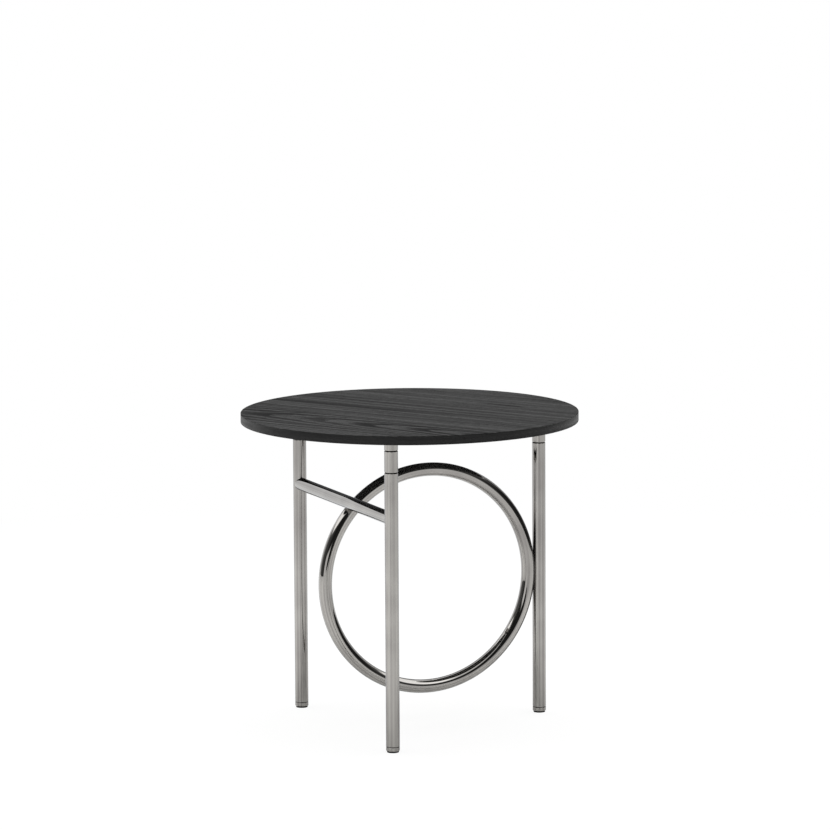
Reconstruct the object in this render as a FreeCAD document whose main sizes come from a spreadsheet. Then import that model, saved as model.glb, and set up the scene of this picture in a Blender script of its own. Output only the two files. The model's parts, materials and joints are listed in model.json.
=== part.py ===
import FreeCAD, Part
import os
import Sketcher

# A round side table: veneered top, three tube legs, a crossbar between two of them and an
# upright ring held between the crossbar and the third leg.
# Millimetres. The origin is on the floor under the middle of the top, Z is up, the ring stands
# in the XZ plane and the third leg is on the +X side.

Vector = FreeCAD.Vector

# Sizes that can be set one by one. The ring comes first: the legs, the top and the height are
# laid out round it, so any of these can be changed alone and the table still closes up.
sizes = {
    "ring_radius": 163.5,  # middle line of the bent tube
    "ring_floor_gap": 44.5,  # floor to the lowest point of the ring
    "ring_top_gap": 65.3,  # highest point of the ring to the underside of the top
    "bar_angle": 43.5,  # degrees above the horizontal at which the ring meets the crossbar
    "seat_depth": 1.8,  # how far the ring is coped over the leg and the crossbar
    "tube_diameter": 20,
    "tube_wall": 2.5,
    "bar_step": 0.25,  # the crossbar stays this far inside the outline of the legs
    "top_overhang": 31.1,  # rim of the top beyond the outside of the legs
    "core_thickness": 12,
    "veneer_thickness": 0.6,
    "band_thickness": 1.2,
    "arris_radius": 0.4,  # eased edge of the veneers
    "collar_height": 13,
    "head_height": 30.6,
    "line_width": 1.4,  # shadow line under the collar and under the head
    "line_depth": 1,
    "edge_break": 0.4,  # small chamfer beside a shadow line
    "head_floor": 8,  # solid metal under the bore of the head
    "plug_length": 18,  # part of the head inside the tube
    "head_wall": 3.95,  # metal of the head round the spigot
    "spigot_end_gap": 1,
    "lock_depth": 0.6,  # groove in the spigot for the tip of the grub screw
    "insert_wall": 2.45,
    "insert_cover": 2.6,  # core left above an insert
    "stud_diameter": 8,  # stud of the collar, in the insert
    "stud_end_gap": 1,
    "grub_diameter": 5,
    "grub_recess": 0.5,  # outer end of a grub screw below the face of the head
    "hex_depth": 2,
    "cap_height": 6.4,  # turned foot without its stud
    "cap_round": 0.8,
    "foot_line": 0.9,  # shadow line above the foot
    "bush_length": 18,
    "bush_wall": 3.42,  # leaves an 8 mm stud in this tube
    "foot_stud_length": 24,
    "pad_proud": 1.6,  # pad below the foot
    "pad_seat": 1.5,  # pad let into the foot
    "pad_rim": 1.2,  # metal of the foot round the pad
    "pad_bevel": 0.5,
    "stem_diameter": 5,
    "stem_length": 2.6,
    "turn_clearance": 0.08,  # between pieces that turn on each other
    "slip_clearance": 0.05,  # between pieces that lift apart
}

# Sizes that follow from the ones above.
derived = {
    "tube_radius": "=tube_diameter / 2",
    "bore_radius": "=tube_radius - tube_wall",
    "bar_radius": "=tube_radius - bar_step",
    "bar_bore_radius": "=bar_radius - tube_wall",
    # ring centre to the axis of the leg, and to the axis of the crossbar
    "leg_seat": "=ring_radius + 2 * tube_radius - seat_depth",
    "bar_seat": "=ring_radius + tube_radius + bar_radius - seat_depth",
    "bar_seat_x": "=bar_seat * cos(bar_angle)",
    "bar_seat_z": "=bar_seat * sin(bar_angle)",
    # the legs stand at the corners of an equal-sided triangle that just holds ring and crossbar
    "leg_circle_radius": "=(leg_seat + bar_seat_x) / 1.5",
    "ring_x": "=leg_circle_radius - leg_seat",
    "ring_z": "=ring_floor_gap + tube_radius + ring_radius",
    "bar_x": "=-leg_circle_radius / 2",
    "bar_z": "=ring_z + bar_seat_z",
    "bar_length": "=leg_circle_radius * sqrt(3)",
    "bar_half": "=bar_length / 2",
    # levels and radii of the top
    "underside": "=ring_z + ring_radius + tube_radius + ring_top_gap",
    "core_bottom": "=underside + veneer_thickness",
    "core_top": "=core_bottom + core_thickness",
    "table_height": "=core_top + veneer_thickness",
    "top_radius": "=leg_circle_radius + tube_radius + top_overhang",
    "core_radius": "=top_radius - band_thickness",
    "arris": "=min(arris_radius; 0.7 * veneer_thickness)",
    # collar, head and what joins them
    "line_radius": "=tube_radius - line_depth",
    "chamfer": "=min(edge_break; 0.5 * line_depth)",
    "collar_bottom": "=underside - collar_height",
    "head_top": "=collar_bottom - line_width",
    "head_bottom": "=head_top - head_height",
    "tube_top": "=head_bottom - line_width",
    "plug_bottom": "=tube_top - plug_length",
    "bore_floor": "=head_bottom + head_floor",
    "spigot_bottom": "=bore_floor + spigot_end_gap",
    "spigot_bore_radius": "=tube_radius - head_wall",
    "spigot_radius": "=spigot_bore_radius - slip_clearance",
    "grub_radius": "=grub_diameter / 2",
    "grub_z": "=(head_top + spigot_bottom) / 2",
    "lock_radius": "=spigot_radius - lock_depth",
    "lock_half": "=1.2 * grub_radius",
    "lock_bottom": "=grub_z - lock_half",
    "lock_top": "=grub_z + lock_half",
    "grub_length": "=tube_radius - lock_radius - grub_recess",
    "grub_start": "=leg_circle_radius - tube_radius + grub_recess",
    "hex_corner": "=grub_radius / sqrt(3)",  # half the thread across the flats
    "stud_radius": "=stud_diameter / 2",
    "thread_radius": "=stud_radius + slip_clearance",
    "insert_radius": "=thread_radius + insert_wall",
    "insert_top": "=core_top - insert_cover",
    "insert_length": "=insert_top - underside",
    "hole_depth": "=insert_top - core_bottom",
    "stud_top": "=insert_top - stud_end_gap",
    # foot, from the floor up
    "cap_top": "=pad_proud + cap_height",
    "cap_edge": "=min(cap_round; 0.7 * pad_rim)",
    "tube_bottom": "=cap_top + foot_line",
    "tube_length": "=tube_top - tube_bottom",
    "bush_top": "=tube_bottom + bush_length",
    "foot_stud_top": "=cap_top + foot_stud_length",
    "bush_bore_radius": "=bore_radius - bush_wall",
    "foot_stud_radius": "=bush_bore_radius - turn_clearance",
    "recess_radius": "=tube_radius - pad_rim",
    "recess_top": "=pad_proud + pad_seat",
    "pad_radius": "=recess_radius - turn_clearance",
    "stem_radius": "=stem_diameter / 2",
    "stem_top": "=recess_top + stem_length",
    "socket_radius": "=stem_radius + turn_clearance",
    "socket_top": "=stem_top + turn_clearance",
}

doc = FreeCAD.newDocument("side_table")
sheet = doc.addObject("Spreadsheet::Sheet", "Sizes")
for row, (name, entry) in enumerate({**sizes, **derived}.items(), start=1):
    sheet.set(f"A{row}", name)
    sheet.set(f"B{row}", str(entry))
    sheet.setAlias(f"B{row}", name)
doc.recompute()


# Number behind a sheet name. A leading minus gives the point on the other side of the origin.
def size(name):
    if name == 0:
        return 0.0
    if name.startswith("-"):
        return -float(sheet.get(name[1:]))
    return float(sheet.get(name))


def new_body(label):
    body = doc.addObject("PartDesign::Body", label)
    body.Label = label
    return body


def new_sketch(body, plane, height=None):
    sketch = body.newObject("Sketcher::SketchObject", f"{body.Name}_sketch")
    support = next(item for item in body.Origin.OriginFeatures if item.Role == plane)
    sketch.AttachmentSupport = [(support, "")]
    sketch.MapMode = "FlatFace"
    if height:
        sketch.setExpression("AttachmentOffset.Base.z", f"Sizes.{height}")
    return sketch


def bind(sketch, constraint, name):
    index = sketch.addConstraint(constraint)
    sketch.setExpression(f"Constraints[{index}]", f"Sizes.{name}")


# Hold one point of the sketch at the named distances from the origin, or on an axis for 0.
def hold(sketch, geometry, point, across, up):
    for kind, axis, name in (("DistanceX", -2, across), ("DistanceY", -1, up)):
        if name == 0:
            sketch.addConstraint(Sketcher.Constraint("PointOnObject", geometry, point, axis))
        elif name.startswith("-"):
            ends = (geometry, point, -1, 1)
            bind(sketch, Sketcher.Constraint(kind, *ends, -size(name)), name[1:])
        else:
            ends = (-1, 1, geometry, point)
            bind(sketch, Sketcher.Constraint(kind, *ends, size(name)), name)


def add_circle(sketch, radius, across=0, up=0):
    centre = Vector(size(across), size(up), 0)
    geometry = sketch.addGeometry(Part.Circle(centre, Vector(0, 0, 1), size(radius)))
    hold(sketch, geometry, 3, across, up)
    bind(sketch, Sketcher.Constraint("Radius", geometry, size(radius)), radius)


# Closed outline through named corners, each held by its own two distances.
def add_outline(sketch, corners):
    points = [Vector(size(across), size(up), 0) for across, up in corners]
    count = len(points)
    for i in range(count):
        sketch.addGeometry(Part.LineSegment(points[i], points[(i + 1) % count]))
    for i in range(count):
        sketch.addConstraint(Sketcher.Constraint("Coincident", i, 2, (i + 1) % count, 1))
    for i, (across, up) in enumerate(corners):
        hold(sketch, i, 1, across, up)


def add_hexagon(sketch, corner, up):
    middle = Vector(0, size(up), 0)
    reach = Vector(0, size(corner), 0)
    turn = FreeCAD.Rotation(Vector(0, 0, 1), 60)
    points = []
    for i in range(6):
        points.append(middle + reach)
        reach = turn.multVec(reach)
    for i in range(6):
        sketch.addGeometry(Part.LineSegment(points[i], points[(i + 1) % 6]))
    circle = sketch.addGeometry(Part.Circle(middle, Vector(0, 0, 1), size(corner)), True)
    for i in range(6):
        sketch.addConstraint(Sketcher.Constraint("Coincident", i, 2, (i + 1) % 6, 1))
    for i in range(6):
        sketch.addConstraint(Sketcher.Constraint("PointOnObject", i, 1, circle))
    for i in range(1, 6):
        sketch.addConstraint(Sketcher.Constraint("Equal", 0, i))
    sketch.addConstraint(Sketcher.Constraint("PointOnObject", 0, 1, -2))
    hold(sketch, circle, 3, 0, up)
    bind(sketch, Sketcher.Constraint("Radius", circle, size(corner)), corner)


# Revolve an outline of (radius, height) corners round the upright axis of the body.
def turned(body, corners):
    sketch = new_sketch(body, "XZ_Plane")
    add_outline(sketch, corners)
    feature = body.newObject("PartDesign::Revolution", f"{body.Name}_turned")
    feature.Profile = sketch
    feature.ReferenceAxis = (sketch, ["V_Axis"])
    feature.Angle = 360
    doc.recompute()
    return feature


# Round edges of a turned piece that have the given radius and height.
def rims(feature, pairs):
    names = []
    for number, edge in enumerate(feature.Shape.Edges, start=1):
        if not isinstance(edge.Curve, Part.Circle):
            continue
        for radius, height in pairs:
            same_radius = abs(edge.Curve.Radius - size(radius)) < 1e-4
            same_height = abs(edge.Curve.Center.z - size(height)) < 1e-4
            if same_radius and same_height:
                names.append(f"Edge{number}")
    return names


def dress(body, kind, pairs, name):
    base = body.Tip
    feature = body.newObject(f"PartDesign::{kind}", f"{body.Name}_{kind.lower()}")
    feature.Base = (base, rims(base, pairs))
    feature.setExpression("Radius" if kind == "Fillet" else "Size", f"Sizes.{name}")
    doc.recompute()
    return feature


def pad(body, sketch, length, symmetric=False, turned_round=False):
    feature = body.newObject("PartDesign::Pad", f"{body.Name}_pad")
    feature.Profile = sketch
    feature.setExpression("Length", f"Sizes.{length}")
    feature.SideType = "Symmetric" if symmetric else "One side"
    feature.Reversed = turned_round
    doc.recompute()
    return feature


# Cut a sketch through the body. A cut that takes nothing away is an error.
def cut(body, sketch, length=None, symmetric=False, turned_round=False):
    before = body.Tip.Shape.Volume
    feature = body.newObject("PartDesign::Pocket", f"{body.Name}_cut")
    feature.Profile = sketch
    feature.SideType = "Symmetric" if symmetric else "One side"
    feature.Reversed = turned_round
    if length:
        feature.Type = "Length"
        feature.setExpression("Length", f"Sizes.{length}")
    else:
        feature.Type = "ThroughAll"
    doc.recompute()
    if feature.Shape.Volume >= before - 1e-6:
        raise RuntimeError(f"{feature.Name} takes nothing away")
    return feature


# Repeat features, or the whole body, at the three legs.
def three_round(body, originals, whole=False):
    pattern = body.newObject("PartDesign::PolarPattern", f"{body.Name}_pattern")
    if whole:
        pattern.TransformMode = "Whole shape"
    else:
        pattern.Originals = originals
    axis = next(item for item in body.Origin.OriginFeatures if item.Role == "Z_Axis")
    pattern.Axis = (axis, [""])
    pattern.Angle = 360
    pattern.Occurrences = 3
    body.Tip = pattern
    doc.recompute()
    return pattern


nodes = []


# Top: core with three blind holes, a veneer on each side and a band round the rim.
core = new_body("top_core")
turned(core, [
    (0, "core_bottom"),
    ("core_radius", "core_bottom"),
    ("core_radius", "core_top"),
    (0, "core_top"),
])
sketch = new_sketch(core, "XY_Plane", "core_bottom")
add_circle(sketch, "insert_radius", "leg_circle_radius")
hole = cut(core, sketch, "hole_depth", turned_round=True)
three_round(core, [hole])
nodes.append(core)

face_veneer = new_body("face_veneer")
turned(face_veneer, [
    (0, "core_top"),
    ("top_radius", "core_top"),
    ("top_radius", "table_height"),
    (0, "table_height"),
])
dress(face_veneer, "Fillet", [("top_radius", "table_height")], "arris")
nodes.append(face_veneer)

back_veneer = new_body("back_veneer")
turned(back_veneer, [
    (0, "underside"),
    ("top_radius", "underside"),
    ("top_radius", "core_bottom"),
    (0, "core_bottom"),
])
dress(back_veneer, "Fillet", [("top_radius", "underside")], "arris")
sketch = new_sketch(back_veneer, "XY_Plane", "underside")
add_circle(sketch, "insert_radius", "leg_circle_radius")
hole = cut(back_veneer, sketch, symmetric=True)
three_round(back_veneer, [hole])
nodes.append(back_veneer)

edge_band = new_body("edge_band")
turned(edge_band, [
    ("core_radius", "core_bottom"),
    ("top_radius", "core_bottom"),
    ("top_radius", "core_top"),
    ("core_radius", "core_top"),
])
nodes.append(edge_band)

# Three inserts in one node, flush with the underside.
inserts = new_body("threaded_inserts")
inserts.AllowCompound = True
sketch = new_sketch(inserts, "XY_Plane", "underside")
add_circle(sketch, "insert_radius", "leg_circle_radius")
add_circle(sketch, "thread_radius", "leg_circle_radius")
sleeve = pad(inserts, sketch, "insert_length")
three_round(inserts, [sleeve])
nodes.append(inserts)

# Three grub screws in one node, each pointing from the table's axis into a leg head.
grubs = new_body("grub_screws")
grubs.AllowCompound = True
sketch = new_sketch(grubs, "YZ_Plane", "grub_start")
add_circle(sketch, "grub_radius", 0, "grub_z")
screw = pad(grubs, sketch, "grub_length")
sketch = new_sketch(grubs, "YZ_Plane", "grub_start")
add_hexagon(sketch, "hex_corner", "grub_z")
socket = cut(grubs, sketch, "hex_depth", turned_round=True)
three_round(grubs, [screw, socket], whole=True)
nodes.append(grubs)

# The three legs are alike. Each body is drawn on its own axis and turned so that its -X side
# faces the table's axis.
for leg, angle in (("rear", 120), ("front", 240), ("right", 0)):

    def leg_body(piece):
        body = new_body(f"{leg}_{piece}")
        body.Placement.Rotation = FreeCAD.Rotation(Vector(0, 0, 1), angle)
        body.setExpression("Placement.Base.x", f"Sizes.leg_circle_radius * cos({angle})")
        body.setExpression("Placement.Base.y", f"Sizes.leg_circle_radius * sin({angle})")
        nodes.append(body)
        return body

    # Collar: stud into the insert, body under the top, shadow line, spigot with a lock groove.
    collar = leg_body("collar")
    turned(collar, [
        (0, "spigot_bottom"),
        ("spigot_radius", "spigot_bottom"),
        ("spigot_radius", "lock_bottom"),
        ("lock_radius", "lock_bottom"),
        ("lock_radius", "lock_top"),
        ("spigot_radius", "lock_top"),
        ("spigot_radius", "head_top"),
        ("line_radius", "head_top"),
        ("line_radius", "collar_bottom"),
        ("tube_radius", "collar_bottom"),
        ("tube_radius", "underside"),
        ("stud_radius", "underside"),
        ("stud_radius", "stud_top"),
        (0, "stud_top"),
    ])
    ends = [("tube_radius", "collar_bottom"), ("spigot_radius", "spigot_bottom")]
    dress(collar, "Chamfer", ends, "chamfer")

    # Head: bore for the spigot, cross hole for the grub screw, plug in the tube.
    head = leg_body("leg_head")
    turned(head, [
        (0, "plug_bottom"),
        ("bore_radius", "plug_bottom"),
        ("bore_radius", "tube_top"),
        ("line_radius", "tube_top"),
        ("line_radius", "head_bottom"),
        ("tube_radius", "head_bottom"),
        ("tube_radius", "head_top"),
        ("spigot_bore_radius", "head_top"),
        ("spigot_bore_radius", "bore_floor"),
        (0, "bore_floor"),
    ])
    ends = [("tube_radius", "head_top"), ("tube_radius", "head_bottom")]
    dress(head, "Chamfer", ends, "chamfer")
    sketch = new_sketch(head, "YZ_Plane")
    add_circle(sketch, "grub_radius", 0, "grub_z")
    cut(head, sketch)

    tube = leg_body("leg_tube")
    sketch = new_sketch(tube, "XY_Plane", "tube_bottom")
    add_circle(sketch, "tube_radius")
    add_circle(sketch, "bore_radius")
    pad(tube, sketch, "tube_length")
    ends = [("tube_radius", "tube_top"), ("tube_radius", "tube_bottom")]
    dress(tube, "Chamfer", ends, "chamfer")

    # Bush: pressed into the tube, with a flange that makes the shadow line above the foot.
    bush = leg_body("foot_bush")
    turned(bush, [
        ("bush_bore_radius", "cap_top"),
        ("line_radius", "cap_top"),
        ("line_radius", "tube_bottom"),
        ("bore_radius", "tube_bottom"),
        ("bore_radius", "bush_top"),
        ("bush_bore_radius", "bush_top"),
    ])

    # Foot: turned cap with a stud, hollowed below for the pad and the stem of the pad.
    foot = leg_body("foot")
    turned(foot, [
        ("socket_radius", "recess_top"),
        ("recess_radius", "recess_top"),
        ("recess_radius", "pad_proud"),
        ("tube_radius", "pad_proud"),
        ("tube_radius", "cap_top"),
        ("foot_stud_radius", "cap_top"),
        ("foot_stud_radius", "foot_stud_top"),
        (0, "foot_stud_top"),
        (0, "socket_top"),
        ("socket_radius", "socket_top"),
    ])
    dress(foot, "Fillet", [("tube_radius", "pad_proud")], "cap_edge")
    ends = [("tube_radius", "cap_top"), ("foot_stud_radius", "foot_stud_top")]
    dress(foot, "Chamfer", ends, "chamfer")

    glide = leg_body("glide_pad")
    turned(glide, [
        (0, 0),
        ("pad_radius", 0),
        ("pad_radius", "recess_top"),
        ("stem_radius", "recess_top"),
        ("stem_radius", "stem_top"),
        (0, "stem_top"),
    ])
    dress(glide, "Chamfer", [("pad_radius", 0)], "pad_bevel")

# Crossbar: both ends coped to the leg tubes, so the ends lie on the legs all round.
crossbar = new_body("crossbar")
crossbar.setExpression("Placement.Base.x", "Sizes.bar_x")
crossbar.setExpression("Placement.Base.z", "Sizes.bar_z")
sketch = new_sketch(crossbar, "XZ_Plane")
add_circle(sketch, "bar_radius")
add_circle(sketch, "bar_bore_radius")
pad(crossbar, sketch, "bar_length", symmetric=True)
sketch = new_sketch(crossbar, "XY_Plane")
add_circle(sketch, "tube_radius", 0, "bar_half")
add_circle(sketch, "tube_radius", 0, "-bar_half")
cut(crossbar, sketch, symmetric=True)
nodes.append(crossbar)

# Ring: bent tube, coped over the right leg on one side and under the crossbar on the other.
ring = new_body("ring")
ring.setExpression("Placement.Base.x", "Sizes.ring_x")
ring.setExpression("Placement.Base.z", "Sizes.ring_z")
sketch = new_sketch(ring, "XY_Plane")
add_circle(sketch, "tube_radius", "ring_radius")
bend = ring.newObject("PartDesign::Revolution", "ring_bend")
bend.Profile = sketch
bend.ReferenceAxis = (sketch, ["V_Axis"])
bend.Angle = 360
doc.recompute()
sketch = new_sketch(ring, "XY_Plane")
add_circle(sketch, "bore_radius", "ring_radius")
hollow = ring.newObject("PartDesign::Groove", "ring_hollow")
hollow.Profile = sketch
hollow.ReferenceAxis = (sketch, ["V_Axis"])
hollow.Angle = 360
doc.recompute()
sketch = new_sketch(ring, "XY_Plane")
add_circle(sketch, "tube_radius", "leg_seat")
cut(ring, sketch, symmetric=True)
sketch = new_sketch(ring, "XZ_Plane")
add_circle(sketch, "bar_radius", "-bar_seat_x", "bar_seat_z")
cut(ring, sketch, symmetric=True)
nodes.append(ring)

doc.recompute()

# Nothing is written unless every object is sound.
for item in doc.Objects:
    if "Invalid" in item.State or "Error" in item.State:
        raise RuntimeError(f"{item.Name} did not build")
for node in nodes:
    if node.Shape.isNull() or not node.Shape.isValid():
        raise RuntimeError(f"{node.Label} is not a valid shape")

os.makedirs("parts", exist_ok=True)
for node in nodes:
    node.Shape.exportStep(f"parts/{node.Label}.step")
    print(node.Label, len(node.Shape.Solids), round(node.Shape.Volume))
for name in ("table_height", "top_radius", "leg_circle_radius", "ring_x", "ring_z", "bar_z"):
    print(name, round(size(name), 2))
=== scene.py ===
import json
import math
import bmesh
import bpy
from mathutils import Matrix, Vector

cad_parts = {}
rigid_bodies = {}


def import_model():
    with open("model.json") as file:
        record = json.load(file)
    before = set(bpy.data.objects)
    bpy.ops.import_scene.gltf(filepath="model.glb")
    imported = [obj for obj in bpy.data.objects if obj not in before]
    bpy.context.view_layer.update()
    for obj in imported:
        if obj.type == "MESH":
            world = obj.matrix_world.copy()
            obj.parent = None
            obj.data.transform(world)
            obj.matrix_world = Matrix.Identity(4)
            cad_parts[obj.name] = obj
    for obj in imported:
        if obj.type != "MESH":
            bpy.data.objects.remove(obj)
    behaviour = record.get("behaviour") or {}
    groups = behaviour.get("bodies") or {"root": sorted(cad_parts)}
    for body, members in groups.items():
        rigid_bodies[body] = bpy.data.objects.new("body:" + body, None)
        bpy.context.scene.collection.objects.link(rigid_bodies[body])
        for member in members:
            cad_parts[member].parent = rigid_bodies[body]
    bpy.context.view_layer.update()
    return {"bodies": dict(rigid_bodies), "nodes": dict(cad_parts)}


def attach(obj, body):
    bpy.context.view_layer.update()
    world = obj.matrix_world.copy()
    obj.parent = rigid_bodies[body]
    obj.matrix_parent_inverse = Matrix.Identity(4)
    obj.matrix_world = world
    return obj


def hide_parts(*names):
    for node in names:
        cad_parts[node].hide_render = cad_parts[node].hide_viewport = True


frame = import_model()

known = set(frame["nodes"].values()) | set(frame["bodies"].values())
for stray in [thing for thing in bpy.data.objects if thing not in known]:
    bpy.data.objects.remove(stray)

mm = 0.001
legAngles = {"right": 0.0, "rear": 120.0, "front": 240.0}  # degrees round the table's axis
tube = {"radius": 10.0, "bore": 7.5, "legCircle": 208.88}
eased = {"interpolation_type": "SMOOTHSTEP"}


def linearColour(hexText):
    parts = [int(hexText[i:i + 2], 16) / 255 for i in (1, 3, 5)]
    return (*[c / 12.92 if c <= 0.04045 else ((c + 0.055) / 1.055) ** 2.4 for c in parts], 1.0)


def addNode(tree, kind, inputs=(), **settings):  # inputs by name or in order; a node stands for its first output
    node = tree.nodes.new(kind)
    for key, value in settings.items():
        setattr(node, key, value)
    for key, value in inputs.items() if isinstance(inputs, dict) else enumerate(inputs):
        if isinstance(value, bpy.types.Node):
            value = value.outputs[0]
        if isinstance(value, bpy.types.NodeSocket):
            tree.links.new(value, node.inputs[key])
        else:
            node.inputs[key].default_value = value
    return node


def emptyTree(owner):  # of a material or the world
    owner.use_nodes = True
    owner.node_tree.nodes.clear()
    return owner.node_tree


def newMaterial(name):
    material = bpy.data.materials.new(name)
    return material, emptyTree(material)


def endMaterial(tree, look):
    shader = addNode(tree, "ShaderNodeBsdfPrincipled", look)
    addNode(tree, "ShaderNodeOutputMaterial", {"Surface": shader})


def rampStops(ramp, stops):  # (place, colour) pairs
    while len(ramp.elements) > len(stops):
        ramp.elements.remove(ramp.elements[-1])
    while len(ramp.elements) < len(stops):
        ramp.elements.new(1.0)
    for element, (place, hexText) in zip(ramp.elements, stops):
        element.position = place
        element.color = linearColour(hexText)


def nearLine(tree, value, middle, inner, outer):  # 1 on a line, fading to 0 beside it
    off = addNode(tree, "ShaderNodeMath", (value, middle), operation="SUBTRACT")
    off = addNode(tree, "ShaderNodeMath", (off,), operation="ABSOLUTE")
    return addNode(tree, "ShaderNodeMapRange", (off, inner, outer, 1.0, 0.0), **eased)


# Steel tube, drawn, buffed and plated with dark nickel: a clear mirror, a little warm, with lines along its length.
# The lines are partly draw lines and partly painted reflection streaks, light and dark, that run the tube's length.
plate = {
    "dark": "#858280", "light": "#a3a19d", "toneSpan": (0.4, 0.6), "lowAngle": "#dee0e3",
    "roughLow": 0.03, "roughHigh": 0.075, "roughSpan": (0.3, 0.7), "hazeMm": 60.0, "hazeShare": 0.3,
    "laneMm": 3.0, "laneAlongMm": 900.0}  # real draw lines are about 0.2 mm, drawn coarser so that they show


def darkNickelPlate(name, run, middle=(0, 0, 0)):
    material, tree = newMaterial(name)
    place = addNode(tree, "ShaderNodeTexCoord").outputs["Object"]
    onTube = place
    if run == "bent":  # the ring's own radius and depth give the place round its tube
        fromMiddle = addNode(tree, "ShaderNodeVectorMath", (place, middle), operation="SUBTRACT")
        flat = addNode(tree, "ShaderNodeVectorMath", (fromMiddle, (1, 0, 1)), operation="MULTIPLY")
        reach = addNode(tree, "ShaderNodeVectorMath", (flat,), operation="LENGTH")
        drift = addNode(tree, "ShaderNodeVectorMath", (flat, (1, 0, 1)), operation="DOT_PRODUCT")
        depth = addNode(tree, "ShaderNodeSeparateXYZ", (place,))
        onTube = addNode(tree, "ShaderNodeCombineXYZ", (
            reach.outputs["Value"], depth.outputs["Y"], drift.outputs["Value"]))
    # Painted reflection streaks: the lanes are drawn long and strong, so besides the draw lines they paint light and
    # dark streaks that stand in for the tube's reflections.
    lane, along = 1 / (plate["laneMm"] * mm), 1 / (plate["laneAlongMm"] * mm)
    stretch = (lane, along, lane) if run == "level" else (lane, lane, along)
    drawLinesAndPaintedStreaks = addNode(tree, "ShaderNodeMapping", {"Vector": onTube, "Scale": stretch})
    lines = addNode(tree, "ShaderNodeTexNoise", {"Vector": drawLinesAndPaintedStreaks, "Scale": 1.0, "Detail": 2.0, "Roughness": 0.6})
    haze = addNode(tree, "ShaderNodeTexNoise", {
        "Vector": place, "Scale": 1 / (plate["hazeMm"] * mm), "Detail": 3.0})
    blend = addNode(tree, "ShaderNodeMix", {"Factor": plate["hazeShare"], "A": lines, "B": haze}, data_type="FLOAT")
    tone = addNode(tree, "ShaderNodeValToRGB", (blend,))
    rampStops(tone.color_ramp, list(zip(plate["toneSpan"], (plate["dark"], plate["light"]))))
    rough = addNode(tree, "ShaderNodeMapRange", (blend, *plate["roughSpan"], plate["roughHigh"], plate["roughLow"]))
    endMaterial(tree, {
        "Metallic": 1.0, "Specular Tint": linearColour(plate["lowAngle"]), "Base Color": tone, "Roughness": rough})
    return material


def speckled(tree, finish):  # two close tones in a fine grit
    place = addNode(tree, "ShaderNodeTexCoord").outputs["Object"]
    grit = addNode(tree, "ShaderNodeTexNoise", {
        "Vector": place, "Scale": 1 / (finish["gritMm"] * mm), "Detail": finish["detail"]})
    tone = addNode(tree, "ShaderNodeValToRGB", (grit,))
    rampStops(tone.color_ramp, [(0.3, finish["dark"]), (0.7, finish["light"])])
    return grit, tone


# Painted shade: the turned shoulders inside the shadow lines and the flanges of the foot bushes are drawn near black,
# so the recessed lines read as dark gaps. On the grub screws the same dark is their black oxide.
oxideAndShadeTone = {
    "dark": "#1a1817", "light": "#2b2826", "rough": 0.55,
    "gritMm": 1.5, "detail": 2.0}  # the real mottle is finer, drawn coarser so that it shows


def blackOxideAndShadeMaterial():
    material, tree = newMaterial("blackOxideSteelAndPaintedShade")
    tone = speckled(tree, oxideAndShadeTone)[1]
    endMaterial(tree, {"Metallic": 1.0, "Roughness": oxideAndShadeTone["rough"], "Base Color": tone})
    return material


# Zinc-plated steel, turned: pale grey with fine tool lines.
zinc = {
    "dark": "#a8a9a6", "light": "#c4c5c2", "roughLow": 0.3, "roughHigh": 0.42,
    "lineMm": 0.6}  # real tool lines are about 0.1 mm, drawn coarser so that they show


def zincSteel():
    material, tree = newMaterial("zincSteelTurned")
    place = addNode(tree, "ShaderNodeTexCoord").outputs["Object"]
    lines = addNode(tree, "ShaderNodeTexWave", {
        "Vector": place, "Scale": 2 * math.pi / (20 * zinc["lineMm"] * mm), "Distortion": 1.0},
        bands_direction="Z").outputs["Fac"]  # the node itself turns by 20 radians in a unit
    tone = addNode(tree, "ShaderNodeValToRGB", (lines,))
    rampStops(tone.color_ramp, [(0.2, zinc["dark"]), (0.8, zinc["light"])])
    rough = addNode(tree, "ShaderNodeMapRange", (lines, 0.0, 1.0, zinc["roughLow"], zinc["roughHigh"]))
    endMaterial(tree, {"Metallic": 1.0, "Base Color": tone, "Roughness": rough})
    return material


# Moulded black nylon: matt, with a fine moulded grit.
nylon = {
    "dark": "#080808", "light": "#131313", "rough": 0.7, "specular": 0.15, "gritDeepMm": 0.1, "gritShare": 0.2,
    "gritMm": 0.8, "detail": 3.0}  # real grit is about 0.1 mm, drawn coarser so that it shows


def mouldedNylon():
    material, tree = newMaterial("mouldedBlackNylon")
    grit, tone = speckled(tree, nylon)
    bump = addNode(tree, "ShaderNodeBump", {
        "Height": grit, "Strength": nylon["gritShare"], "Distance": nylon["gritDeepMm"] * mm})
    endMaterial(tree, {
        "Roughness": nylon["rough"], "Specular IOR Level": nylon["specular"], "Base Color": tone, "Normal": bump})
    return material


# Pressed board of the core: pale brown fibres, never seen from outside.
board = {"dark": "#8a7152", "light": "#a78b68", "rough": 0.85, "gritMm": 3.0, "detail": 6.0}


def pressedBoard():
    material, tree = newMaterial("pressedFibreBoard")
    tone = speckled(tree, board)[1]
    endMaterial(tree, {"Roughness": board["rough"], "Base Color": tone})
    return material


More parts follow.
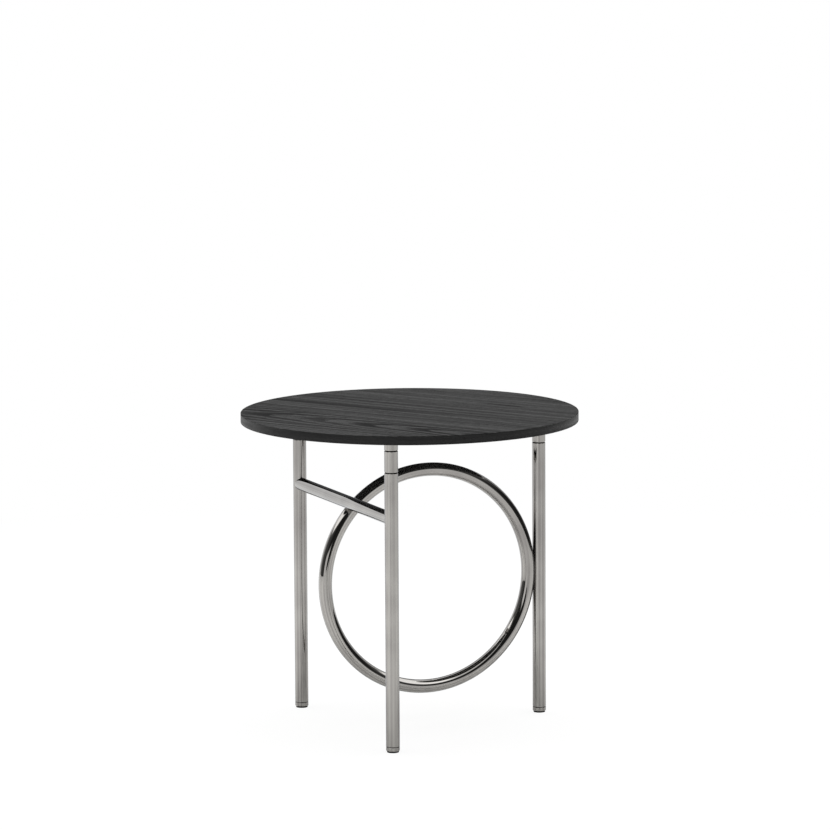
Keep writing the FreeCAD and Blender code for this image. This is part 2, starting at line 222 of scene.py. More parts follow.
# Ash veneer, stained black and brushed open: straight grain with a row of flames, one dark heart streak,
# darker early wood with open pores, and a dry sheen at low angles.
veneer = {
    "grainTurn": 57.6,  # degrees, turns the grain onto the pattern's own X axis
    # noise drawn out along the grain: mm along, mm across, detail, place in the noise, reach
    "sway": (170.0, 70.0, 2.0, 0.37, 16.0), "ragged": (40.0, 7.0, 3.0, 4.1, 9.0),
    "streaks": (380.0, 4.0, 4.0, 0.37, 1.15), "broad": (620.0, 30.0, 2.0, 2.3, 0.4),
    "fine": (150.0, 1.1, 3.0, 5.9, 0.5),
    "pores": (11.0, 0.5, 1.0, 7.7, 1.0),  # drawn about twice as coarse as real pores so that they show
    "openPores": (0.07, 0.16), "earlyPores": 0.1,
    "flameAcross": -140.0, "flameStart": 34.5, "flameTaper": 0.105, "flameCore": 24.0, "flameHalf": 60.0,
    "besideFlame": 0.3, "ringMm": 10.0, "earlyRise": 0.1, "earlyFall": (0.14, 0.72), "faintYear": 0.45,
    # lines: middle, half width at full strength, half width at none, in mm
    "heart": (-2.0, 3.0, 13.0), "second": (53.0, 1.5, 6.0), "knot": (127.0, 0.6, 4.8),
    "knotAlong": (82.0, 6.0, 50.0), "knotRagged": 0.9,
    "heartFade": (-40.0, 120.0, 1.0, 0.45),  # mm along where the fading starts and ends, strength at each
    "darken": {"early": 0.62, "heart": 0.28, "second": 0.14, "knot": 0.6, "openPores": 0.3},
    "tones": [(0.14, "#080808"), (0.5, "#222222"), (0.86, "#444444")],
    "roughSpan": (0.2, 0.8), "grooveMm": 0.2, "grooveShare": 0.5,
    "face": {"specular": 0.09, "roughLow": 0.56, "roughHigh": 0.8, "tone": 0.63, "contrast": 1.0},
    "rim": {"specular": 0.16, "roughLow": 0.4, "roughHigh": 0.55, "tone": 0.42, "contrast": 0.5}}


def stainedVeneer(name, laid="face", shift=(0, 0, 0)):
    finish, darken = veneer[laid], veneer["darken"]
    material, tree = newMaterial(name)
    coords = addNode(tree, "ShaderNodeTexCoord")
    if laid == "rim":  # the band's own map runs round the rim
        source, turn = coords.outputs["UV"], 0.0
    else:
        source, turn = coords.outputs["Object"], math.radians(veneer["grainTurn"])
    place = addNode(tree, "ShaderNodeMapping", {
        "Vector": source, "Location": shift, "Rotation": (0, 0, turn), "Scale": [1 / mm] * 3})
    split = addNode(tree, "ShaderNodeSeparateXYZ", (place,))
    along, across = split.outputs["X"], split.outputs["Y"]

    def grainNoise(layer):  # drawn out along the grain and centred on nought
        longMm, wideMm, detail, depth, reach = veneer[layer]
        spot = addNode(tree, "ShaderNodeMapping", {
            "Vector": place, "Location": (0, 0, depth), "Scale": (1 / longMm, 1 / wideMm, 0)})
        noise = addNode(tree, "ShaderNodeTexNoise", {"Vector": spot, "Scale": 1.0, "Detail": detail})
        return addNode(tree, "ShaderNodeMapRange", (noise, 0.0, 1.0, -reach / 2, reach / 2), clamp=False)

    grain = addNode(tree, "ShaderNodeMath", (across, grainNoise("sway")), operation="ADD")
    ragged = grainNoise("ragged")

    # Year rings cut at a slant, which shows as flames: each starts with a dark row of pores and grows lighter.
    fromFlame = addNode(tree, "ShaderNodeMath", (grain, veneer["flameAcross"]), operation="SUBTRACT")
    taper = addNode(tree, "ShaderNodeMath", (along, -veneer["flameTaper"], ragged), operation="MULTIPLY_ADD")
    taper = addNode(tree, "ShaderNodeMath", (taper, veneer["flameStart"]), operation="ADD")
    fromPith = addNode(tree, "ShaderNodeCombineXYZ", (fromFlame, taper))
    fromPith = addNode(tree, "ShaderNodeVectorMath", (fromPith,), operation="LENGTH").outputs["Value"]
    count = addNode(tree, "ShaderNodeMath", (fromPith, veneer["ringMm"]), operation="DIVIDE")
    inRing = addNode(tree, "ShaderNodeMath", (count,), operation="FRACT")
    whole = addNode(tree, "ShaderNodeMath", (count,), operation="FLOOR")
    year = addNode(tree, "ShaderNodeTexWhiteNoise", {"W": whole}, noise_dimensions="1D")
    nearFlame = nearLine(tree, grain, veneer["flameAcross"], veneer["flameCore"], veneer["flameHalf"])
    early = addNode(tree, "ShaderNodeMapRange", (inRing, 0.0, veneer["earlyRise"]), **eased)
    fall = addNode(tree, "ShaderNodeMapRange", (inRing, *veneer["earlyFall"], 1.0, 0.0), **eased)
    early = addNode(tree, "ShaderNodeMath", (early, fall), operation="MULTIPLY")
    for value, least in ((year, veneer["faintYear"]), (nearFlame, veneer["besideFlame"])):
        strength = addNode(tree, "ShaderNodeMath", (value, 1 - least, least), operation="MULTIPLY_ADD")
        early = addNode(tree, "ShaderNodeMath", (early, strength), operation="MULTIPLY")

    heart = nearLine(tree, grain, *veneer["heart"])
    heartFade = addNode(tree, "ShaderNodeMapRange", (along, *veneer["heartFade"]), **eased)
    heart = addNode(tree, "ShaderNodeMath", (heart, heartFade), operation="MULTIPLY")
    second = nearLine(tree, grain, *veneer["second"])
    knot = addNode(tree, "ShaderNodeMath", (ragged, veneer["knotRagged"], grain), operation="MULTIPLY_ADD")
    knot = addNode(tree, "ShaderNodeMath", (
        nearLine(tree, knot, *veneer["knot"]), nearLine(tree, along, *veneer["knotAlong"])), operation="MULTIPLY")
    pores = addNode(tree, "ShaderNodeMath", (
        early, veneer["earlyPores"], grainNoise("pores")), operation="MULTIPLY_ADD")
    openPores = addNode(tree, "ShaderNodeMapRange", (pores, *veneer["openPores"]), **eased)

    layers = [(grainNoise(layer), 1.0) for layer in ("streaks", "broad", "fine")]
    layers += [(early, -darken["early"]), (heart, -darken["heart"]), (second, -darken["second"])]
    layers += [(knot, -darken["knot"]), (openPores, -darken["openPores"])]
    tone = finish["tone"]
    for value, weight in layers:
        tone = addNode(tree, "ShaderNodeMath", (value, weight * finish["contrast"], tone), operation="MULTIPLY_ADD")
    colour = addNode(tree, "ShaderNodeValToRGB", (tone,))
    rampStops(colour.color_ramp, veneer["tones"])
    rough = addNode(tree, "ShaderNodeMapRange", (
        tone, *veneer["roughSpan"], finish["roughHigh"], finish["roughLow"]), **eased)
    height = addNode(tree, "ShaderNodeMath", (tone, openPores), operation="SUBTRACT")
    bump = addNode(tree, "ShaderNodeBump", {
        "Height": height, "Strength": veneer["grooveShare"], "Distance": veneer["grooveMm"] * mm})
    endMaterial(tree, {
        "Specular IOR Level": finish["specular"], "Base Color": colour, "Roughness": rough, "Normal": bump})
    return material


nickelPlate = darkNickelPlate("darkNickelOnDrawnTube", "upright")
blackOxideAndShadeSteel = blackOxideAndShadeMaterial()
zincPlate = zincSteel()
nylonBlack = mouldedNylon()
coreBoard = pressedBoard()
veneerFace = stainedVeneer("ashVeneerStainedBlack")
veneerBack = stainedVeneer("ashBalancingVeneerStainedBlack", shift=(430, 260, 0))
veneerRim = stainedVeneer("ashEdgeBandStainedBlack", laid="rim")
print("materials:", len(bpy.data.materials))

turning = {"arcSteps": 4, "holdFrom": 2.0, "holdWidth": 0.4, "segments": 96, "sharp": 50.0}  # mm and degrees


def rounded(corners, closed=False):  # (radius, height, bevel) corners to a profile with small arcs and holding loops
    line = []
    count = len(corners)
    for i, (radius, height, bevel) in enumerate(corners):
        here = Vector((radius, height))
        inside = closed or 0 < i < count - 1
        if not (bevel and inside):
            line.append(here)
            continue
        back = Vector(corners[i - 1][:2]) - here
        ahead = Vector(corners[(i + 1) % count][:2]) - here
        start, end = here + back.normalized() * bevel, here + ahead.normalized() * bevel
        for step in range(turning["arcSteps"] + 1):
            t = step / turning["arcSteps"]
            line.append((1 - t) ** 2 * start + 2 * t * (1 - t) * here + t ** 2 * end)
    held = []
    for i, point in enumerate(line):
        held.append(point)
        if i + 1 == len(line) and not closed:
            break
        nextPoint = line[(i + 1) % len(line)]
        gap = (nextPoint - point).length
        if gap > turning["holdFrom"]:
            held.append(point.lerp(nextPoint, turning["holdWidth"] / gap))
            held.append(nextPoint.lerp(point, turning["holdWidth"] / gap))
    return held


def barCorners(outer, low, high, lowBevel=0, highBevel=0, inner=0):  # a plain round bar, or a tube or band
    return [(inner, low, 0), (outer, low, lowBevel), (outer, high, highBevel), (inner, high, 0)]


def smoothShaded(mesh):
    for polygon in mesh.polygons:
        polygon.use_smooth = True
    mesh.set_sharp_from_angle(angle=math.radians(turning["sharp"]))
    return mesh


def turnedMesh(name, corners, segments=turning["segments"], closed=False):  # turned round the upright axis, in mm
    verts, rows = [], []
    for point in rounded(corners, closed):
        if point.x < 1e-6:  # a pole
            rows.append([len(verts)] * segments)
            verts.append((0.0, 0.0, point.y * mm))
            continue
        row = []
        for s in range(segments):
            turn = 2 * math.pi * s / segments
            row.append(len(verts))
            verts.append((point.x * mm * math.cos(turn), point.x * mm * math.sin(turn), point.y * mm))
        rows.append(row)
    faces = []
    pairs = list(zip(rows, rows[1:])) + ([(rows[-1], rows[0])] if closed else [])
    for low, high in pairs:
        for s in range(segments):
            n = (s + 1) % segments
            corner = [low[s], low[n], high[n], high[s]]
            face = [c for k, c in enumerate(corner) if c != corner[k - 1]]
            if len(face) > 2:
                faces.append(face)
    mesh = bpy.data.meshes.new(name)
    mesh.from_pydata(verts, [], faces)
    mesh.validate()
    return smoothShaded(mesh)


def placed(name, data):
    thing = bpy.data.objects.new(name, data)
    bpy.context.scene.collection.objects.link(thing)
    return thing


def showPiece(name, mesh, body, material=None, replaced=()):
    piece = placed(name, mesh)
    if material:
        mesh.materials.clear()
        mesh.materials.append(material)
    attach(piece, body)
    if replaced:
        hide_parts(*replaced)
    return piece


def plainMesh(carrier):  # what an object's modifiers make of it; the object itself goes
    bpy.context.view_layer.update()
    made = bpy.data.meshes.new_from_object(carrier.evaluated_get(bpy.context.evaluated_depsgraph_get()))
    carrier.modifiers.clear()
    bpy.data.objects.remove(carrier)
    return made


def newTree(name, sockets):  # an empty tree with named inputs
    tree = bpy.data.node_groups.new(name, "GeometryNodeTree")
    tree.interface.new_socket("Geometry", in_out="INPUT", socket_type="NodeSocketGeometry")
    for label, kind in sockets.items():
        tree.interface.new_socket(label, in_out="INPUT", socket_type="NodeSocket" + kind)
    tree.interface.new_socket("Geometry", in_out="OUTPUT", socket_type="NodeSocketGeometry")
    return tree, addNode(tree, "NodeGroupInput").outputs


def endTree(tree, geometry, material):
    solid = addNode(tree, "GeometryNodeRealizeInstances", {"Geometry": geometry})
    painted = addNode(tree, "GeometryNodeSetMaterial", {"Geometry": solid, "Material": material})
    addNode(tree, "NodeGroupOutput", {"Geometry": painted})


def grown(name, mesh, tree, values):  # runs a tree on a mesh and keeps the result as a plain mesh
    carrier = placed(name + "Carrier", mesh)
    modifier = carrier.modifiers.new("grow", "NODES")
    modifier.node_group = tree
    for item in tree.interface.items_tree:
        if item.in_out == "INPUT" and item.name in values:
            modifier[item.identifier] = values[item.name]
    made = plainMesh(carrier)
    made.name = name
    return made


# Three of a turned piece, one on each leg's axis.
legTree, legIn = newTree("threeLegs", {"Leg Circle": "Float", "Material": "Material"})
legPoints = addNode(legTree, "GeometryNodeMeshCircle", {"Vertices": len(legAngles), "Radius": legIn["Leg Circle"]})
legTurn = addNode(legTree, "ShaderNodeMath", (
    addNode(legTree, "GeometryNodeInputIndex"), 2 * math.pi / len(legAngles)), operation="MULTIPLY")
legFacing = addNode(legTree, "ShaderNodeCombineXYZ", {"Z": legTurn})
legSpread = addNode(legTree, "GeometryNodeInstanceOnPoints", {
    "Points": legPoints, "Instance": legIn["Geometry"], "Rotation": legFacing})
endTree(legTree, legSpread, legIn["Material"])


def onThreeLegs(name, mesh, material, replaced=None):
    made = grown(name, mesh, legTree, {"Leg Circle": tube["legCircle"] * mm, "Material": material})
    nodeNames = [f"{legName}_{replaced}" for legName in legAngles] if replaced else ()
    return showPiece(name, made, "frame", None, nodeNames)


leg = {
    "underside": 456.8, "collarBottom": 443.8, "headTop": 442.4, "headBottom": 411.8, "tubeTop": 410.4,
    "tubeBottom": 8.9, "edge": 0.4, "collarEdge": 0.1, "lineRadius": 9.0, "lineOverlap": 0.5,
    "headSegments": 192, "grubHeight": 431.6, "grubHole": 2.6, "grubDepth": 5.0, "drillStart": 1.0,
    "drillSegments": 64, "sliver": 0.004, "headSharp": 35.0}
onThreeLegs("legTubes", turnedMesh("legTube", barCorners(
    tube["radius"], leg["tubeBottom"], leg["tubeTop"], leg["edge"], leg["edge"], tube["bore"]), closed=True),
    nickelPlate, "leg_tube")


def drilledHead():  # leg head with the cross hole of its grub screw, on the side that faces the table's middle
    head = placed("headBlank", turnedMesh("legHead", barCorners(
        tube["radius"], leg["headBottom"], leg["headTop"], leg["edge"], leg["edge"]), leg["headSegments"]))
    drill = placed("grubDrill", turnedMesh("grubDrill", barCorners(
        leg["grubHole"], 0, leg["grubDepth"]), leg["drillSegments"]))
    start = Vector((-tube["radius"] - leg["drillStart"], 0, leg["grubHeight"])) * mm
    drill.data.transform(Matrix.Translation(start) @ Matrix.Rotation(math.pi / 2, 4, "Y"))
    cut = head.modifiers.new("cut", "BOOLEAN")
    cut.operation, cut.object, cut.solver = "DIFFERENCE", drill, "EXACT"
    made = plainMesh(head)
    bpy.data.objects.remove(drill)
    cleaned = bmesh.new()
    cleaned.from_mesh(made)
    bmesh.ops.remove_doubles(cleaned, verts=cleaned.verts, dist=leg["sliver"] * mm)  # slivers left by the cut
    bmesh.ops.dissolve_degenerate(cleaned, edges=cleaned.edges, dist=leg["sliver"] * mm)
    cleaned.to_mesh(made)
    cleaned.free()
    made.set_sharp_from_angle(angle=math.radians(leg["headSharp"]))
    return made


onThreeLegs("legHeads", drilledHead(), nickelPlate, "leg_head")
onThreeLegs("legCollars", turnedMesh("legCollar", barCorners(
    tube["radius"], leg["collarBottom"], leg["underside"], leg["edge"], leg["collarEdge"])),
    nickelPlate, "collar")
# Painted shade: a near-black band inside each recessed shadow line, where the shoulder sits.
onThreeLegs("shadowLines", turnedMesh("shadowLine", barCorners(
    leg["lineRadius"], leg["tubeTop"] - leg["lineOverlap"], leg["collarBottom"] + leg["lineOverlap"])),
    blackOxideAndShadeSteel)
print("legs done")


ring = {"bend": 163.5, "tube": 10.0, "centre": (27.18, 0.0, 218.0), "steps": 480, "round": 96}
ringCentre = [c * mm for c in ring["centre"]]
nickelRing = darkNickelPlate("darkNickelOnBentTube", "bent", ringCentre)
ringTree, ringIn = newTree("bentRing", {
    "Bend Radius": "Float", "Tube Radius": "Float", "Centre": "Vector", "Material": "Material"})
ringPath = addNode(ringTree, "GeometryNodeCurvePrimitiveCircle", {
    "Resolution": ring["steps"], "Radius": ringIn["Bend Radius"]})
ringProfile = addNode(ringTree, "GeometryNodeCurvePrimitiveCircle", {
    "Resolution": ring["round"], "Radius": ringIn["Tube Radius"]})
ringSkin = addNode(ringTree, "GeometryNodeCurveToMesh", {"Curve": ringPath, "Profile Curve": ringProfile})
ringSmooth = addNode(ringTree, "GeometryNodeSetShadeSmooth", {"Geometry": ringSkin})
ringStood = addNode(ringTree, "GeometryNodeTransform", {
    "Geometry": ringSmooth, "Rotation": (math.pi / 2, 0, 0), "Translation": ringIn["Centre"]})
endTree(ringTree, ringStood, ringIn["Material"])
ringMesh = grown("ringTube", bpy.data.meshes.new("ringSeed"), ringTree, {
    "Bend Radius": ring["bend"] * mm, "Tube Radius": ring["tube"] * mm, "Centre": ringCentre, "Material": nickelRing})
showPiece("ringTube", ringMesh, "frame", None, ["ring"])
print("ring done:", len(ringMesh.polygons), "faces")


bar = {"radius": 9.75, "bore": 7.25, "half": 180.895, "x": -104.44, "z": 342.9, "rows": 24, "round": 96}


def copedBar():  # a tube whose ends follow the round of the legs
    rows = [(bar["radius"], -1 + 2 * i / bar["rows"]) for i in range(bar["rows"] + 1)]
    rows += [(bar["bore"], 1.0), (bar["bore"], -1.0)]
    verts, faces = [], []
    for radius, share in rows:
        for s in range(bar["round"]):
            turn = 2 * math.pi * s / bar["round"]
            aside, up = radius * math.cos(turn), radius * math.sin(turn)
            end = bar["half"] - math.sqrt(tube["radius"] ** 2 - aside ** 2)
            verts.append(((bar["x"] + aside) * mm, share * end * mm, (bar["z"] + up) * mm))
    for i in range(len(rows)):
        low, high = i * bar["round"], (i + 1) % len(rows) * bar["round"]
        for s in range(bar["round"]):
            n = (s + 1) % bar["round"]
            faces.append((low + s, high + s, high + n, low + n))
    mesh = bpy.data.meshes.new("crossbarTube")
    mesh.from_pydata(verts, [], faces)
    return smoothShaded(mesh)


nickelBar = darkNickelPlate("darkNickelOnLevelTube", "level")
showPiece("crossbarTube", copedBar(), "frame", nickelBar, ["crossbar"])
print("crossbar done")


top = {
    "radius": 249.98, "underside": 456.8, "coreBottom": 457.4, "coreTop": 469.4, "height": 470.0, "arris": 0.45,
    "band": 1.2, "innerLoop": 0.7, "segments": 384}
showPiece("faceVeneerSheet", turnedMesh("faceVeneerSheet", [
    (0, top["coreTop"], 0), (top["radius"], top["coreTop"], 0), (top["radius"], top["height"], top["arris"]),
    (top["radius"] * top["innerLoop"], top["height"], 0), (0, top["height"], 0)], top["segments"]),
    "frame", veneerFace, ["face_veneer"])
showPiece("backVeneerSheet", turnedMesh("backVeneerSheet", barCorners(
    top["radius"], top["underside"], top["coreBottom"], top["arris"]), top["segments"]),
    "frame", veneerBack, ["back_veneer"])


def rimBand():  # edge band with its grain laid round the rim
    mesh = turnedMesh("edgeBandStrip", barCorners(
        top["radius"], top["coreBottom"], top["coreTop"], inner=top["radius"] - top["band"]),
        top["segments"], closed=True)
    layer = mesh.uv_layers.new(name="rim")
    for polygon in mesh.polygons:
        spots = [mesh.vertices[v].co for v in polygon.vertices]
        turns = [math.atan2(spot.y, spot.x) for spot in spots]
        for loop, spot, turn in zip(polygon.loop_indices, spots, turns):
            near = turn + (2 * math.pi if max(turns) - turn > math.pi else 0)  # keeps the seam face whole
            layer.data[loop].uv = (near * top["radius"] * mm, spot.z)
    return mesh


showPiece("edgeBandStrip", rimBand(), "frame", veneerRim, ["edge_band"])
print("top done")


foot = {
    "capBottom": 2.4, "capTop": 8.0, "round": 0.8, "edge": 0.4, "recess": 8.8, "recessTop": 3.1, "recessEdge": 0.1,
    "stud": 4.0, "studTop": 32.0, "studEdge": 0.3, "core": 3.32,
    "pitch": 1.25, "ridge": 0.44, "threadStart": 0.5, "threadSpare": 1.2, "threadSteps": 32,
    "pad": 8.72, "padTop": 3.05, "padBevel": 0.5,
    "grooveIn": 3.0, "grooveOut": 1.5, "grooveSlope": 0.4, "grooveDepth": 0.35, "grooveLip": 0.2, "grooveRound": 0.1}
# A ridge wound up the stud, three-sided as a screw thread is.
threadTree, threadIn = newTree("studThread", {
    "Turns": "Float", "Path Radius": "Float", "Height": "Float", "Ridge": "Float", "Place": "Vector",
    "Material": "Material"})
threadPath = addNode(threadTree, "GeometryNodeCurveSpiral", {
    "Resolution": foot["threadSteps"], "Rotations": threadIn["Turns"], "Start Radius": threadIn["Path Radius"],
    "End Radius": threadIn["Path Radius"], "Height": threadIn["Height"]})
threadUp = addNode(threadTree, "GeometryNodeSetCurveNormal", {"Curve": threadPath}, mode="Z_UP")
threadShape = addNode(threadTree, "GeometryNodeCurvePrimitiveCircle", {"Resolution": 3, "Radius": threadIn["Ridge"]})
threadSkin = addNode(threadTree, "GeometryNodeCurveToMesh", {
    "Curve": threadUp, "Profile Curve": threadShape, "Fill Caps": True})
threadSet = addNode(threadTree, "GeometryNodeTransform", {"Geometry": threadSkin, "Translation": threadIn["Place"]})
endTree(threadTree, threadSet, threadIn["Material"])
capCorners = [
    (0, foot["recessTop"], 0), (foot["recess"], foot["recessTop"], 0),
    (foot["recess"], foot["capBottom"], foot["recessEdge"]), (tube["radius"], foot["capBottom"], foot["round"]),
    (tube["radius"], foot["capTop"], foot["edge"]), (foot["core"], foot["capTop"], 0),
    (foot["core"], foot["studTop"], foot["studEdge"]), (0, foot["studTop"], 0)]
grooveIn, grooveOut = foot["pad"] - foot["grooveIn"], foot["pad"] - foot["grooveOut"]
padCorners = [
    (0, 0, 0), (grooveIn, 0, foot["grooveLip"]),
    (grooveIn + foot["grooveSlope"], foot["grooveDepth"], foot["grooveRound"]),
    (grooveOut - foot["grooveSlope"], foot["grooveDepth"], foot["grooveRound"]), (grooveOut, 0, foot["grooveLip"]),
    (foot["pad"], 0, foot["padBevel"]), (foot["pad"], foot["padTop"], 0), (0, foot["padTop"], 0)]
rise = foot["studTop"] - foot["capTop"] - foot["threadSpare"]
for legName, legAngle in legAngles.items():
    facing = math.radians(legAngle)
    spot = Vector((tube["legCircle"] * math.cos(facing), tube["legCircle"] * math.sin(facing), 0)) * mm
    axis = Matrix.Translation(spot)
    cap = turnedMesh(legName + "FootCap", capCorners)
    cap.transform(axis)
    showPiece(legName + "FootCap", cap, legName + "_levelling_foot", nickelPlate, [legName + "_foot"])
    thread = grown(legName + "StudThread", bpy.data.meshes.new("threadSeed"), threadTree, {
        "Turns": rise / foot["pitch"], "Path Radius": (foot["stud"] - foot["ridge"]) * mm, "Height": rise * mm,
        "Ridge": foot["ridge"] * mm, "Place": spot + Vector((0, 0, foot["capTop"] + foot["threadStart"])) * mm,
        "Material": zincPlate})
    showPiece(legName + "StudThread", thread, legName + "_levelling_foot")
    pad = turnedMesh(legName + "GlidePad", padCorners)
    pad.transform(axis)
    showPiece(legName + "GlidePad", pad, legName + "_glide", nylonBlack, [legName + "_glide_pad"])
print("feet done")

# The grub screws are black oxide. The foot bushes' flanges sit in the recessed line above each foot and take its
# painted shade.
finishes = {"top_core": coreBoard, "threaded_inserts": zincPlate, "grub_screws": blackOxideAndShadeSteel}
finishes.update({legName + "_foot_bush": blackOxideAndShadeSteel for legName in legAngles})
for nodeName, finish in finishes.items():
    nodeMesh = frame["nodes"][nodeName].data
    nodeMesh.materials.clear()
    nodeMesh.materials.append(finish)
print("carried-over nodes finished:", len(finishes))


lens = {  # metres and degrees; the focal length was measured in the photograph's own pixels
    "focalPixels": 5184.14, "photoPixels": 830, "sensorMm": 36, "away": 7.58882, "height": 1.56516, "aside": 0.0080,
    "pitch": 8.2527, "roll": -0.33, "turn": 22.6345, "farthest": 100}
scene = bpy.context.scene
camera = bpy.data.cameras.new("photoCamera")
camera.lens = lens["focalPixels"] / lens["photoPixels"] * lens["sensorMm"]
camera.sensor_width = lens["sensorMm"]
camera.clip_end = lens["farthest"]
cameraObject = placed("photoCamera", camera)
cameraTurn = Matrix.Rotation(-math.radians(lens["turn"]), 4, "Z")
cameraPlace = Matrix.Translation((lens["aside"], -lens["away"], lens["height"]))
cameraTilt = Matrix.Rotation(math.radians(90 - lens["pitch"]), 4, "X")
cameraRoll = Matrix.Rotation(math.radians(lens["roll"]), 4, "Z")
cameraObject.matrix_world = cameraTurn @ cameraPlace @ cameraTilt @ cameraRoll
scene.camera = cameraObject

# A white sweep in a dark room: pale floor, a broad light ceiling, and dark sides that give the tubes their
# black lines.
studio = {
    "photographer": 0.03, "photographerEdge": (-0.85, -0.3), "sides": 0.13, "reflectorSoft": 3.0,
    "sweep": 1.45, "sweepHeight": (-0.03, 0.01), "sweepAhead": (0.2, 0.5), "mattShare": 0.92,
    "ceilingEdge": 0.52, "ceilingSoft": 0.05, "ceilingLean": 0.28, "leanFrom": 0.2, "leanAside": 0.2,
    "edgeAside": 0.055, "ceilingMiddle": 1.3, "ceilingSides": 2.54,
    "wings": [(-94, 36), (92, 50)], "wingSoft": 9.0,  # degrees to the right, half width
    "boxHeight": 2.6, "boxSide": 1.8, "boxWatts": 26.0, "boxBack": 0.4}
reflectors = [  # degrees to the right, degrees up, half width, half height, level
    (-74, 12, 14, 16, 0.48),
    (-40, 12, 21, 14, 1.45),
    (38, 14, 24, 18, 0.75),
    (-158, 0, 14, 10, 1.45),
    (141, 0, 13, 9, 1.05),
    (94, 6, 22, 17, 0.03)]  # the last one is a black flag
scene.view_settings.view_transform = "Standard"
awayVector = cameraTurn @ Vector((0, 1, 0))  # from the photographer to the table
rightVector = cameraTurn @ Vector((1, 0, 0))

world = bpy.data.worlds.new("paleStudio")
scene.world = world
sky = emptyTree(world)
heading = addNode(sky, "ShaderNodeTexCoord").outputs["Generated"]
heightOf = addNode(sky, "ShaderNodeSeparateXYZ", (heading,)).outputs["Z"]
awayOf = addNode(sky, "ShaderNodeVectorMath", (heading, awayVector), operation="DOT_PRODUCT").outputs["Value"]
rightOf = addNode(sky, "ShaderNodeVectorMath", (heading, rightVector), operation="DOT_PRODUCT").outputs["Value"]
bearing = addNode(sky, "ShaderNodeMath", (rightOf, awayOf), operation="ARCTAN2")
bearing = addNode(sky, "ShaderNodeMath", (bearing,), operation="DEGREES")  # 0 behind the table, 90 to the right
climb = addNode(sky, "ShaderNodeMath", (heightOf,), operation="ARCSINE")
climb = addNode(sky, "ShaderNodeMath", (climb,), operation="DEGREES")


def inWindow(value, middle, half, soft):
    return nearLine(sky, value, middle, half - soft, half + soft)


roomLevel = addNode(sky, "ShaderNodeMapRange", (
    awayOf, *studio["photographerEdge"], studio["photographer"], studio["sides"]), **eased)
for aside, up, halfWide, halfHigh, level in reflectors:
    inside = addNode(sky, "ShaderNodeMath", (
        inWindow(bearing, aside, halfWide, studio["reflectorSoft"]),
        inWindow(climb, up, halfHigh, studio["reflectorSoft"])), operation="MULTIPLY")
    roomLevel = addNode(sky, "ShaderNodeMix", {"Factor": inside, "A": roomLevel, "B": level}, data_type="FLOAT")
sweepShare = addNode(sky, "ShaderNodeMath", (
    addNode(sky, "ShaderNodeMapRange", (heightOf, *studio["sweepHeight"], 1.0, 0.0), **eased),
    addNode(sky, "ShaderNodeMapRange", (awayOf, *studio["sweepAhead"]), **eased)), operation="MULTIPLY")
roomLevel = addNode(sky, "ShaderNodeMix", {
    "Factor": sweepShare, "A": roomLevel, "B": studio["sweep"]}, data_type="FLOAT")

# The ceiling has two brighter wings, and its edge is higher on the photographer's side.
wings = [inWindow(bearing, middle, half, studio["wingSoft"]) for middle, half in studio["wings"]]
wings = addNode(sky, "ShaderNodeMath", wings, operation="MAXIMUM")
ceilingLevel = addNode(sky, "ShaderNodeMix", {
    "Factor": wings, "A": studio["ceilingMiddle"], "B": studio["ceilingSides"]}, data_type="FLOAT")
lean = addNode(sky, "ShaderNodeMath", (
    rightOf, -studio["leanAside"], studio["ceilingLean"]), operation="MULTIPLY_ADD")
towards = addNode(sky, "ShaderNodeMath", (awayOf, studio["leanFrom"]), operation="ADD")
towards = addNode(sky, "ShaderNodeMath", (towards, 0.0), operation="MINIMUM")
edge = addNode(sky, "ShaderNodeMath", (towards, lean, heightOf), operation="MULTIPLY_ADD")
edge = addNode(sky, "ShaderNodeMath", (rightOf, -studio["edgeAside"], edge), operation="MULTIPLY_ADD")
ceilingShare = addNode(sky, "ShaderNodeMapRange", (
    edge, studio["ceilingEdge"] - studio["ceilingSoft"], studio["ceilingEdge"] + studio["ceilingSoft"]), **eased)
roomLevel = addNode(sky, "ShaderNodeMix", {
    "Factor": ceilingShare, "A": roomLevel, "B": ceilingLevel}, data_type="FLOAT")

# Metal shows the whole room, matt surfaces get a plain level, and the camera sees white.
ray = addNode(sky, "ShaderNodeLightPath").outputs
mattLevel = addNode(sky, "ShaderNodeMath", (roomLevel, studio["mattShare"]), operation="MULTIPLY")
lampLevel = addNode(sky, "ShaderNodeMix", {
    "Factor": ray["Is Glossy Ray"], "A": mattLevel, "B": roomLevel}, data_type="FLOAT")
seen = addNode(sky, "ShaderNodeMath", (ray["Is Camera Ray"], ray["Is Transmission Ray"]), operation="MAXIMUM")
shownLevel = addNode(sky, "ShaderNodeMix", {"Factor": seen, "A": lampLevel, "B": 1.0}, data_type="FLOAT")
shown = addNode(sky, "ShaderNodeBackground", {"Color": (1, 1, 1, 1), "Strength": shownLevel})
addNode(sky, "ShaderNodeOutputWorld", {"Surface": shown})

floor = {  # metres; it reaches further behind and to the left, a hair below the pads, clear of a foot turned right out
    "radius": 4.3, "shift": 0.55, "drop": 0.0001, "segments": 128, "paper": "#f8f8f7",
    "ownLight": 0.9, "whiteFrom": 0.8, "whiteBy": 2.0, "gloss": 0.14, "skim": 0.9, "ior": 1.45,
    "mirrorFrom": 0.1, "mirrorBy": 0.75, "mirrorShare": 0.5,
    "mirrorLeft": 1.8, "mirrorAhead": 1.2, "mirrorRight": 1.35}
floorMesh = turnedMesh("studioFloor", [(floor["radius"] / mm, 0, 0), (0, 0, 0)], floor["segments"])
floorShift = (awayVector - rightVector) * floor["shift"] - Vector((0, 0, floor["drop"]))
floorMesh.transform(Matrix.Translation(floorShift))
floorObject = placed("studioFloor", floorMesh)

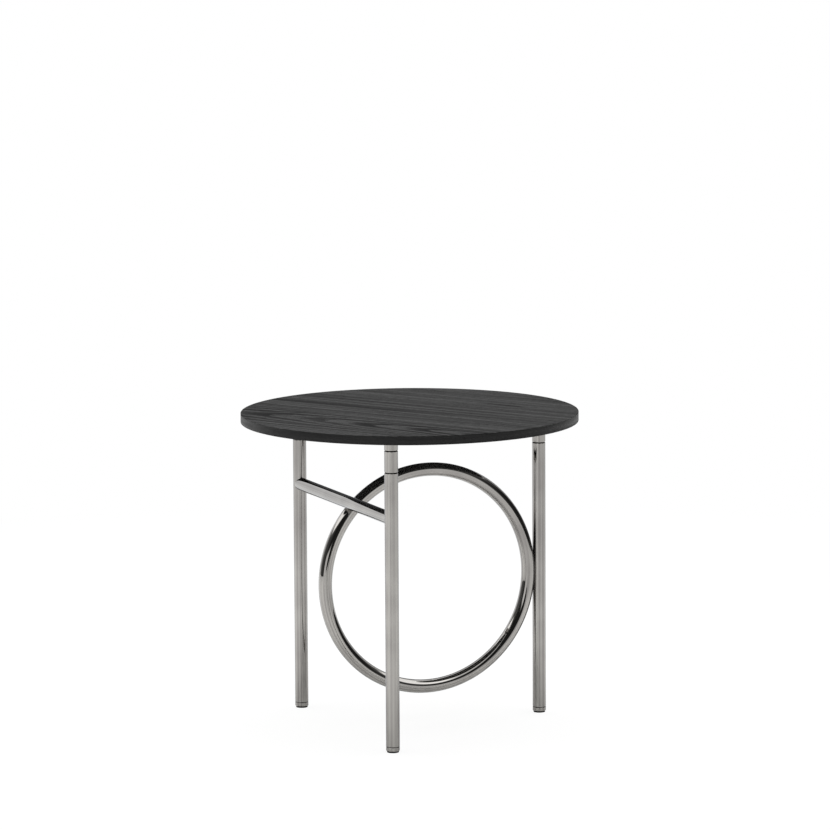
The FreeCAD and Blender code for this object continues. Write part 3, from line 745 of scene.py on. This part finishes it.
# White paper to the camera with the table's soft shadow, and a satin board with a glow to polished metal.
floorMaterial, floorTree = newMaterial("paleStudioFloor")
floorRay = addNode(floorTree, "ShaderNodeLightPath").outputs
floorPlace = addNode(floorTree, "ShaderNodeTexCoord").outputs["Object"]
reach = addNode(floorTree, "ShaderNodeVectorMath", (floorPlace,), operation="LENGTH").outputs["Value"]
matt = addNode(floorTree, "ShaderNodeBsdfDiffuse", {"Color": linearColour(floor["paper"])})
satin = addNode(floorTree, "ShaderNodeBsdfGlossy", {"Roughness": floor["gloss"]})
skim = addNode(floorTree, "ShaderNodeFresnel", {"IOR": floor["ior"]})
skimShare = addNode(floorTree, "ShaderNodeMath", (skim, floor["skim"]), operation="MULTIPLY")
satinBoard = addNode(floorTree, "ShaderNodeMixShader", (skimShare, matt, satin))
sideways = addNode(floorTree, "ShaderNodeVectorMath", (floorPlace, rightVector), operation="DOT_PRODUCT")
sideways = addNode(floorTree, "ShaderNodeMath", (sideways.outputs["Value"], reach), operation="DIVIDE")
toLeft = addNode(floorTree, "ShaderNodeMapRange", (sideways, -1.0, 0.0, floor["mirrorLeft"], floor["mirrorAhead"]))
toRight = addNode(floorTree, "ShaderNodeMapRange", (sideways, 0.0, 1.0, floor["mirrorAhead"], floor["mirrorRight"]))
glowLevel = addNode(floorTree, "ShaderNodeMath", (toLeft, toRight), operation="MAXIMUM")  # brighter below the wings
glow = addNode(floorTree, "ShaderNodeEmission", {"Color": (1, 1, 1, 1), "Strength": glowLevel})
glowShare = addNode(floorTree, "ShaderNodeMapRange", (
    reach, floor["mirrorFrom"], floor["mirrorBy"], 0.0, floor["mirrorShare"]))
glowShare = addNode(floorTree, "ShaderNodeMath", (floorRay["Is Glossy Ray"], glowShare), operation="MULTIPLY")
mirrored = addNode(floorTree, "ShaderNodeMixShader", (glowShare, satinBoard, glow))
white = addNode(floorTree, "ShaderNodeEmission", {"Color": (1, 1, 1, 1), "Strength": 1.0})
ownLight = addNode(floorTree, "ShaderNodeMapRange", (
    reach, floor["whiteFrom"], floor["whiteBy"], floor["ownLight"], 1.0))
paper = addNode(floorTree, "ShaderNodeMixShader", (ownLight, matt, white))
lit = addNode(floorTree, "ShaderNodeMixShader", (floorRay["Is Camera Ray"], mirrored, paper))
clear = addNode(floorTree, "ShaderNodeBsdfTransparent")
side = addNode(floorTree, "ShaderNodeNewGeometry").outputs["Backfacing"]
oneSided = addNode(floorTree, "ShaderNodeMixShader", (side, lit, clear))  # seen through from below
addNode(floorTree, "ShaderNodeOutputMaterial", {"Surface": oneSided})
floorMesh.materials.append(floorMaterial)

softbox = bpy.data.lights.new("overheadSoftbox", "AREA")
softbox.shape = "SQUARE"
softbox.size = studio["boxSide"]
softbox.energy = studio["boxWatts"]
softboxObject = placed("overheadSoftbox", softbox)
softboxObject.location = awayVector * studio["boxBack"] + Vector((0, 0, studio["boxHeight"]))
softboxObject.visible_camera = False
print("studio done")
